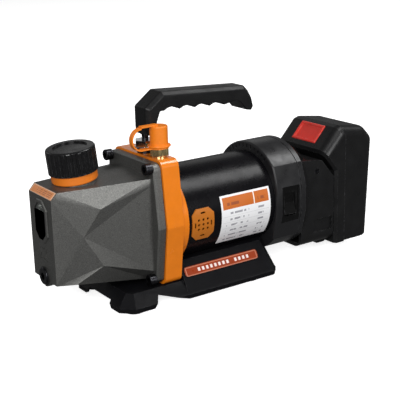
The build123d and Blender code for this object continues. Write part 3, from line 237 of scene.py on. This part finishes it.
def metal(name, color, roughness, streaks=None, depth=0.00002):
    """Bare or plated metal, with fine machining marks."""
    paint = Paint(name, color, roughness, 1.0)
    marks = paint.noise(500.0, 2.0, stretch=streaks)
    paint.set_color(paint.blend(marks, paint.shade(0.82), paint.shade(1.12)))
    paint.set_roughness(paint.ramp(marks, 0.3, 0.7, roughness * 0.7, roughness * 1.4))
    paint.bump(marks, depth)
    return paint.material


def rubber(name, color, roughness):
    """Soft matt rubber."""
    paint = Paint(name, color, roughness)
    return finish_surface(paint, 700.0, 0.00006, mottle=0.08, worn=None)


def tube_paint():
    """Satin black paint on the motor's tube."""
    worn = (0.08, 0.07, 0.065)
    paint = Paint("tube_paint", (0.0035, 0.0033, 0.0042), 0.27, Specular_IOR_Level=0.15)
    return finish_surface(paint, 420.0, 0.00002, mottle=0.1, rough_spread=0.04, worn=worn)


def stripes(paint, value, starts, thickness):
    """1 on lines that start at the given places, and 0 between them."""
    total = 0.0
    for start in starts:
        above = paint.math("GREATER_THAN", value, start)
        below = paint.math("LESS_THAN", value, start + thickness)
        total = paint.math("ADD", total, paint.math("MULTIPLY", above, below))
    return total


def between(paint, value, low, high):
    """1 where the value lies between two numbers."""
    above = paint.math("GREATER_THAN", value, low)
    below = paint.math("LESS_THAN", value, high)
    return paint.math("MULTIPLY", above, below)


def printed_label():
    """A white label with a coloured header, and bars in place of its words."""
    top_turn, low_turn = math.radians(24), math.radians(-42)
    header_color, gap_color = (0.53, 0.130, 0.014, 1), (0.86, 0.80, 0.74, 1)
    rule_color, word_color, title_color = (0.35, 0.35, 0.38, 1), (0.16, 0.16, 0.19, 1), (0.22, 0.05, 0.02, 1)
    low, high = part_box("spec_label")
    paint = Paint("printed_label", (0.82, 0.82, 0.83), 0.38, Coat_Weight=0.2, Coat_Roughness=0.2)

    # The label's own coordinates run from 0 to 1, along the shaft and down round the tube
    x, y, z = paint.axes()
    along = paint.ramp(x, low.x, high.x)
    rise = paint.math("SUBTRACT", z, AXIS_Z)
    turn = paint.math("ARCTAN2", rise, paint.math("MULTIPLY", y, -1.0))
    down = paint.ramp(turn, top_turn, low_turn)

    inside = between(paint, along, 0.035, 0.965)
    header = paint.math("MULTIPLY", between(paint, down, 0.04, 0.265), inside)
    divider = between(paint, along, 0.655, 0.675)
    rules = stripes(paint, down, [0.40, 0.515, 0.63, 0.745, 0.86], 0.008)
    rows = stripes(paint, down, [0.325, 0.445, 0.56, 0.675, 0.79, 0.90], 0.038)
    words = paint.math("GREATER_THAN", paint.noise(210.0, 1.0, stretch=(1.6, 0.05, 0.35)), 0.47)
    left = between(paint, along, 0.10, 0.55)
    right = between(paint, along, 0.74, 0.90)
    text = paint.math("MULTIPLY", paint.math("MULTIPLY", rows, words), paint.math("ADD", left, right))
    title_columns = paint.math("ADD", between(paint, along, 0.12, 0.36), right)
    title = paint.math("MULTIPLY", between(paint, down, 0.145, 0.20), title_columns)
    title = paint.math("MULTIPLY", title, words)

    color = paint.blend(paint.noise(60.0), (0.78, 0.78, 0.80, 1), (0.86, 0.86, 0.87, 1))
    color = paint.blend(header, color, header_color)
    color = paint.blend(paint.math("MULTIPLY", header, divider), color, gap_color)
    color = paint.blend(paint.math("MULTIPLY", paint.math("MULTIPLY", rules, inside), 0.4), color, rule_color)
    color = paint.blend(paint.math("MULTIPLY", text, 0.75), color, word_color)
    color = paint.blend(paint.math("MULTIPLY", title, 0.75), color, title_color)
    paint.set_color(color)
    paint.set_roughness(paint.ramp(paint.noise(120.0), 0.3, 0.7, 0.30, 0.45))
    paint.bump(paint.noise(500.0, 2.0), 0.00001)
    return paint.material


def printed_plate():
    """A coloured plate with a pale border line and a row of bars."""
    line_color, bar_color = (0.70, 0.34, 0.22, 1), (0.86, 0.80, 0.77, 1)
    bar_count = 18.0
    low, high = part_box("nameplate")
    paint = Paint("printed_plate", (0.26, 0.036, 0.009), 0.40, Specular_IOR_Level=0.2)
    x, _, z = paint.axes()
    along = paint.ramp(x, low.x, high.x)
    up = paint.ramp(z, low.z, high.z)

    ends = stripes(paint, along, [0.012, 0.976], 0.012)
    sides = stripes(paint, up, [0.07, 0.85], 0.08)
    within = paint.math("MULTIPLY", between(paint, along, 0.012, 0.988), between(paint, up, 0.07, 0.93))
    border = paint.math("MULTIPLY", paint.math("MAXIMUM", ends, sides), within)

    mark = between(paint, paint.math("FRACT", paint.math("MULTIPLY", along, bar_count)), 0.12, 0.66)
    gap = between(paint, along, 0.60, 0.66)
    span = paint.math("MULTIPLY", between(paint, along, 0.15, 0.87), paint.math("SUBTRACT", 1.0, gap))
    bars = paint.math("MULTIPLY", paint.math("MULTIPLY", mark, span), between(paint, up, 0.34, 0.68))

    color = paint.blend(paint.noise(45.0, 3.0), paint.shade(0.85), paint.shade(1.15))
    color = paint.blend(paint.math("MULTIPLY", border, 0.45), color, line_color)
    color = paint.blend(paint.math("MULTIPLY", bars, 0.8), color, bar_color)
    paint.set_color(color)
    paint.set_roughness(paint.ramp(paint.noise(150.0), 0.3, 0.7, 0.26, 0.42))
    paint.bump(paint.noise(600.0, 2.0), 0.00001)
    return paint.material


def sticker():
    """An orange sticker with fine dark lines."""
    line_color, border_color = (0.14, 0.035, 0.01, 1), (0.80, 0.66, 0.50, 1)
    low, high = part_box("tank_sticker")
    paint = Paint("sticker", (0.60, 0.19, 0.032), 0.35, Coat_Weight=0.2, Coat_Roughness=0.2)
    _, y, z = paint.axes()
    across = paint.ramp(y, low.y, high.y)
    up = paint.ramp(z, low.z, high.z)

    lines = stripes(paint, up, [0.26, 0.46, 0.66], 0.07)
    lines = paint.math("MULTIPLY", lines, between(paint, across, 0.10, 0.74))
    words = paint.math("GREATER_THAN", paint.noise(260.0, 1.0, stretch=(0.1, 1.4, 0.1)), 0.42)
    lines = paint.math("MULTIPLY", lines, words)
    within = paint.math("MULTIPLY", between(paint, across, 0.03, 0.97), between(paint, up, 0.10, 0.90))
    border = paint.math("SUBTRACT", 1.0, within)

    color = paint.blend(paint.noise(60.0), paint.shade(0.88), paint.shade(1.12))
    color = paint.blend(paint.math("MULTIPLY", lines, 0.8), color, line_color)
    color = paint.blend(paint.math("MULTIPLY", border, 0.45), color, border_color)
    paint.set_color(color)
    paint.set_roughness(paint.ramp(paint.noise(150.0), 0.3, 0.7, 0.28, 0.44))
    paint.bump(paint.noise(600.0, 2.0), 0.00001)
    return paint.material


def red_plastic():
    """Tinted gloss plastic that lets a little light in."""
    paint = Paint(
        "red_plastic", (0.55, 0.035, 0.025), 0.2,
        Subsurface_Weight=0.25, Subsurface_Scale=0.004, Coat_Weight=0.4, Coat_Roughness=0.1,
    )
    worn = (0.75, 0.25, 0.2)
    return finish_surface(paint, 320.0, 0.00003, mottle=0.1, rough_spread=0.06, worn=worn, wear_share=0.5)


def window_glass():
    """Clear glass with a thin film of oil."""
    paint = Paint("window_glass", (0.80, 0.84, 0.80), 0.06, Transmission_Weight=0.9, IOR=1.46)
    film = paint.noise(70.0, 3.0)
    paint.set_color(paint.blend(film, (0.70, 0.76, 0.70, 1), (0.88, 0.91, 0.88, 1)))
    paint.set_roughness(paint.ramp(film, 0.3, 0.7, 0.04, 0.12))
    paint.bump(paint.noise(120.0, 2.0), 0.00002)
    return paint.material


def pleated():
    """Pale fibre of the exhaust filter."""
    paint = Paint("filter_fibre", (0.72, 0.68, 0.56), 0.9)
    return finish_surface(paint, 1400.0, 0.0003, mottle=0.15)


def windings():
    """Enamelled copper wire, seen as fine ridges, with painted shade in the valleys between turns."""
    paint = Paint("copper_wire", (0.62, 0.22, 0.08), 0.3, 1.0)
    wave = paint.node("ShaderNodeTexWave", wave_type="BANDS", bands_direction="X")
    wave.inputs["Scale"].default_value = 420.0
    wave.inputs["Distortion"].default_value = 1.5
    paint.tree.links.new(paint.place, wave.inputs["Vector"])
    # Darkest where the bands are lowest: painted shade in the grooves between turns
    paint.set_color(paint.blend(wave.outputs["Fac"], paint.shade(0.45), paint.shade(1.1)))
    paint.set_roughness(paint.ramp(wave.outputs["Fac"], 0.0, 1.0, 0.5, 0.25))
    paint.bump(wave.outputs["Fac"], 0.0002)
    return paint.material


def pale_floor():
    """A near-white floor that glows a little, so that it stays evenly pale."""
    glow = {"Emission_Color": (1, 1, 1, 1), "Emission_Strength": 0.78}
    paint = Paint("pale_floor", (0.86, 0.86, 0.86), 0.75, **glow)
    paint.set_color(paint.blend(paint.noise(1.5), (0.85, 0.85, 0.85, 1), (0.87, 0.87, 0.87, 1)))
    return paint.material


def make_finishes():
    """Every finish by name."""
    return {
        "tank": powder_coat(),
        "bracket": gloss_paint("bracket_paint", (0.72, 0.185, 0.006)),
        "grille": gloss_paint("grille_paint", (0.46, 0.135, 0.008), 0.3),
        "tube": tube_paint(),
        "case": plastic("case_plastic", (0.0065, 0.0065, 0.0068), 0.32, depth=0.00006, specular=0.34),
        # The collar's base colour is lighter than the case plastic's, partly as painted light on a part that
        # lies in shade
        "collar": plastic("collar_plastic", (0.0105, 0.0105, 0.0114), 0.33, depth=0.00004, specular=0.42),
        "cap": plastic("cap_plastic", (0.0060, 0.0060, 0.0064), 0.26, depth=0.00003, specular=0.34),
        "handle": plastic("handle_plastic", (0.0055, 0.0055, 0.0058), 0.40, grain=700.0, depth=0.0002),
        "base": plastic(
            "base_plastic", (0.0040, 0.0040, 0.0048), 0.44, grain=1300.0, depth=0.00006, specular=0.09),
        "switch": plastic(
            "switch_plastic", (0.0050, 0.0050, 0.0050), 0.30, grain=500.0, depth=0.00002, specular=0.10),
        "gloss_black": plastic("gloss_plastic", (0.010, 0.010, 0.010), 0.26, grain=500.0, depth=0.00002),
        "orange_rubber": rubber("orange_rubber", (0.77, 0.200, 0.009), 0.42),
        # A darker copy of the orange rubber for the filler seal ring: the darkening is painted shade from the
        # cap above it
        "seal_rubber": rubber("seal_rubber", (0.66, 0.165, 0.010), 0.42),
        "black_rubber": rubber("black_rubber", (0.012, 0.012, 0.012), 0.6),
        "red": red_plastic(),
        "glass": window_glass(),
        "black_steel": metal("black_steel", (0.045, 0.045, 0.05), 0.32),
        "yellow_zinc": metal("yellow_zinc", (0.78, 0.62, 0.30), 0.26, streaks=(1, 1, 0.2)),
        "chromed": metal("chromed", (0.78, 0.78, 0.80), 0.1),
        "steel": metal("ground_steel", (0.58, 0.58, 0.58), 0.25, streaks=(1, 8, 8)),
        "iron": metal("machined_iron", (0.34, 0.34, 0.34), 0.36, streaks=(8, 1, 1)),
        "alloy": metal("cast_alloy", (0.66, 0.66, 0.67), 0.42, depth=0.0001),
        "copper": windings(),
        "laminations": metal("laminations", (0.24, 0.24, 0.25), 0.45, streaks=(14, 0.2, 0.2), depth=0.0002),
        "vane": plastic("vane_composite", (0.05, 0.04, 0.03), 0.5),
        "board": plastic(
            "solder_mask", (0.02, 0.16, 0.06), 0.3, grain=300.0, depth=0.00003, worn=(0.1, 0.4, 0.2)),
        "cell": plastic(
            "cell_sleeve", (0.05, 0.22, 0.45), 0.3, grain=200.0, depth=0.00002, worn=(0.2, 0.4, 0.6)),
        "filter": pleated(),
        "label": printed_label(),
        "plate": printed_plate(),
        "sticker": sticker(),
    }


# The finish of each CAD node
FINISH_OF = {
    "oil_tank": "tank", "sight_glass_bezel": "tank", "tank_gasket": "black_rubber",
    "tank_screws": "black_steel", "sight_glass": "glass", "tank_sticker": "sticker",
    "drain_plug": "black_steel", "drain_washer": "black_rubber", "filler_seal_ring": "seal_rubber",
    "filler_cap": "cap", "exhaust_filter": "filter", "pump_cylinder": "iron",
    "pump_front_plate": "iron", "pump_rear_plate": "iron", "cylinder_screws": "steel",
    "exhaust_valve": "steel", "valve_guard": "steel", "pump_rotor": "iron", "rotor_vanes": "vane",
    "shaft_seal": "black_rubber", "drive_coupling": "alloy", "motor_shaft": "steel",
    "bearing_outer_rings": "steel", "bearing_inner_rings": "steel", "motor_tube": "tube",
    "vent_grille": "grille", "stator_core": "laminations", "stator_windings": "copper",
    "rotor_core": "laminations", "rotor_magnets": "steel", "end_bell": "alloy",
    "cooling_fan": "gloss_black", "spec_label": "label", "rear_collar": "collar",
    "switch_housing": "switch", "switch_rocker": "switch", "battery_dock": "case",
    "housing_screws": "black_steel", "terminal_block": "gloss_black", "terminal_blades": "copper",
    "controller_board": "board", "battery_front_case": "case", "battery_rear_case": "case",
    "battery_screws": "black_steel", "battery_cells": "cell", "battery_board": "board",
    "release_button": "red", "button_spring": "steel", "handle": "handle",
    "handle_stud": "black_steel", "handle_nut": "chromed", "intake_fitting": "yellow_zinc",
    "intake_screen": "steel", "dust_cap": "orange_rubber", "dust_cap_strap": "orange_rubber",
    "base": "base", "rubber_feet": "black_rubber", "base_screws": "black_steel", "nameplate": "plate",
    "centre_bracket": "bracket",
}


# ---- Pieces ----


MERGE_DISTANCE = 2e-6
FLAT_ANGLE = math.radians(0.6)
CREASE_ANGLE = math.radians(1.5)
ROUNDED_ANGLE = math.radians(28.0)
LARGE_FACE = 6e-5  # square metres
BEVEL_SEGMENTS = 2
NORMAL_WEIGHT = 80


def is_crease(edge):
    """True for a shallow edge between two large flat faces, which stays crisp."""
    if len(edge.link_faces) != 2 or min(face.calc_area() for face in edge.link_faces) < LARGE_FACE:
        return False
    return CREASE_ANGLE < edge.calc_face_angle() < ROUNDED_ANGLE


def soften(node, width):
    """Shows a CAD node with its sharp edges rounded."""
    bm = bmesh.new()
    bm.from_mesh(nodes[node].data)
    bmesh.ops.remove_doubles(bm, verts=bm.verts, dist=MERGE_DISTANCE)
    bmesh.ops.dissolve_limit(bm, angle_limit=FLAT_ANGLE, verts=bm.verts, edges=bm.edges)
    for edge in bm.edges:
        edge.smooth = not is_crease(edge)
    mesh = bpy.data.meshes.new(f"{node}_shown")
    bm.to_mesh(mesh)
    bm.free()
    for layer in ("custom_normal", "sharp_face"):
        if layer in mesh.attributes:
            mesh.attributes.remove(mesh.attributes[layer])
    mesh.shade_smooth()
    piece = bpy.data.objects.new(f"{node}_shown", mesh)
    bpy.context.scene.collection.objects.link(piece)
    rounding = piece.modifiers.new("rounding", "BEVEL")
    rounding.width = width
    rounding.segments = BEVEL_SEGMENTS
    rounding.limit_method = "ANGLE"
    rounding.angle_limit = ROUNDED_ANGLE
    rounding.miter_outer = "MITER_ARC"
    normals = piece.modifiers.new("normals", "WEIGHTED_NORMAL")
    normals.weight = NORMAL_WEIGHT
    normals.keep_sharp = True
    depsgraph = bpy.context.evaluated_depsgraph_get()
    shaped = bpy.data.meshes.new_from_object(piece.evaluated_get(depsgraph))
    piece.modifiers.clear()
    piece.data = shaped
    piece.data.materials.clear()
    piece.data.materials.append(finishes[FINISH_OF[node]])
    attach(piece, body_of[node])
    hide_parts(node)
    return piece


finishes = make_finishes()
for node, finish in FINISH_OF.items():
    mesh = nodes[node].data
    mesh.materials.clear()
    mesh.materials.append(finishes[finish])

# The width in metres to which each node's sharp edges are rounded
ROUNDED = {
    "oil_tank": 0.0009, "centre_bracket": 0.0007, "rear_collar": 0.0006, "battery_dock": 0.0008,
    "base": 0.0009, "handle": 0.0011, "sight_glass_bezel": 0.0003,
    "intake_fitting": 0.0003, "handle_nut": 0.0004, "dust_cap": 0.0003,
    "tank_screws": 0.0003, "drain_plug": 0.0002, "vent_grille": 0.0003, "nameplate": 0.0002,
}
for node, width in ROUNDED.items():
    soften(node, width)


# ---- Stage ----


def add_floor():
    """A pale floor that curves up behind the pump."""
    reach, depth, bend, rise = 6.0, 3.0, 1.5, 4.0
    profile = [(-3.0, 0.0), (depth, 0.0)]
    steps = 12
    for step in range(1, steps + 1):
        turn = math.pi / 2 * step / steps
        profile.append((depth + bend * math.sin(turn), bend * (1 - math.cos(turn))))
    profile.append((depth + bend, rise))
    mesh = bpy.data.meshes.new("floor")
    points = [(side * reach, y, z) for y, z in profile for side in (-1, 1)]
    quads = [(2 * i, 2 * i + 1, 2 * i + 3, 2 * i + 2) for i in range(len(profile) - 1)]
    mesh.from_pydata(points, [], quads)
    mesh.shade_smooth()
    mesh.materials.append(pale_floor())
    floor = bpy.data.objects.new("floor", mesh)
    floor.rotation_euler.z = -CAMERA_AZIMUTH
    floor.visible_glossy = False
    floor.visible_diffuse = False
    bpy.context.scene.collection.objects.link(floor)


def add_light(name, place, target, size, power):
    """A square area light that faces its target, in metres and watts."""
    lamp = bpy.data.lights.new(name, "AREA")
    lamp.shape = "RECTANGLE"
    lamp.size = size
    lamp.size_y = size
    lamp.energy = power
    holder = bpy.data.objects.new(name, lamp)
    holder.location = place
    holder.rotation_euler = (Vector(target) - Vector(place)).to_track_quat("-Z", "Y").to_euler()
    bpy.context.scene.collection.objects.link(holder)


def add_camera(place, azimuth, elevation, roll, lens):
    """A camera that looks along +Y at azimuth 0, and turns towards +X."""
    view = Vector((
        math.sin(azimuth) * math.cos(elevation),
        math.cos(azimuth) * math.cos(elevation),
        -math.sin(elevation),
    ))
    level = Vector((math.cos(azimuth), -math.sin(azimuth), 0))
    upright = level.cross(view)
    right = level * math.cos(roll) + upright * math.sin(roll)
    up = upright * math.cos(roll) - level * math.sin(roll)
    camera = bpy.data.cameras.new("camera")
    camera.lens = lens
    camera.sensor_width = 36.0
    holder = bpy.data.objects.new("camera", camera)
    holder.matrix_world = Matrix.Translation(place) @ Matrix((right, up, -view)).transposed().to_4x4()
    bpy.context.scene.collection.objects.link(holder)
    bpy.context.scene.camera = holder


CAMERA_PLACE = Vector((-0.5035, -0.7217, 0.3395))
CAMERA_AZIMUTH = math.radians(34.31)
CAMERA_ELEVATION = math.radians(16.9)
CAMERA_ROLL = math.radians(-1.43)
CAMERA_LENS = 87.7
LIGHT_TARGET = (0, 0, 0.08)
LIGHTS = {  # place, size and power
    "left_key": ((-1.7, -1.7, 1.3), 1.3, 62.0),
    "top_softbox": ((1.05, -0.45, 1.7), 0.8, 18.0),
    "front_softbox": ((0.45, -2.2, 0.75), 0.9, 20.0),
    "rim": ((-0.6, 1.7, 0.9), 0.8, 1.5),
    "back_softbox": ((1.35, 2.15, 1.15), 1.1, 1.25),
}
WORLD_STRENGTH = 0.12

add_camera(CAMERA_PLACE, CAMERA_AZIMUTH, CAMERA_ELEVATION, CAMERA_ROLL, CAMERA_LENS)
add_floor()
for light, (place, size, power) in LIGHTS.items():
    add_light(light, place, LIGHT_TARGET, size, power)

world = bpy.data.worlds.new("world")
world.use_nodes = True
background = world.node_tree.nodes["Background"]
background.inputs["Color"].default_value = (1, 1, 1, 1)
background.inputs["Strength"].default_value = WORLD_STRENGTH
bpy.context.scene.world = world
bpy.context.scene.view_settings.view_transform = "Standard"
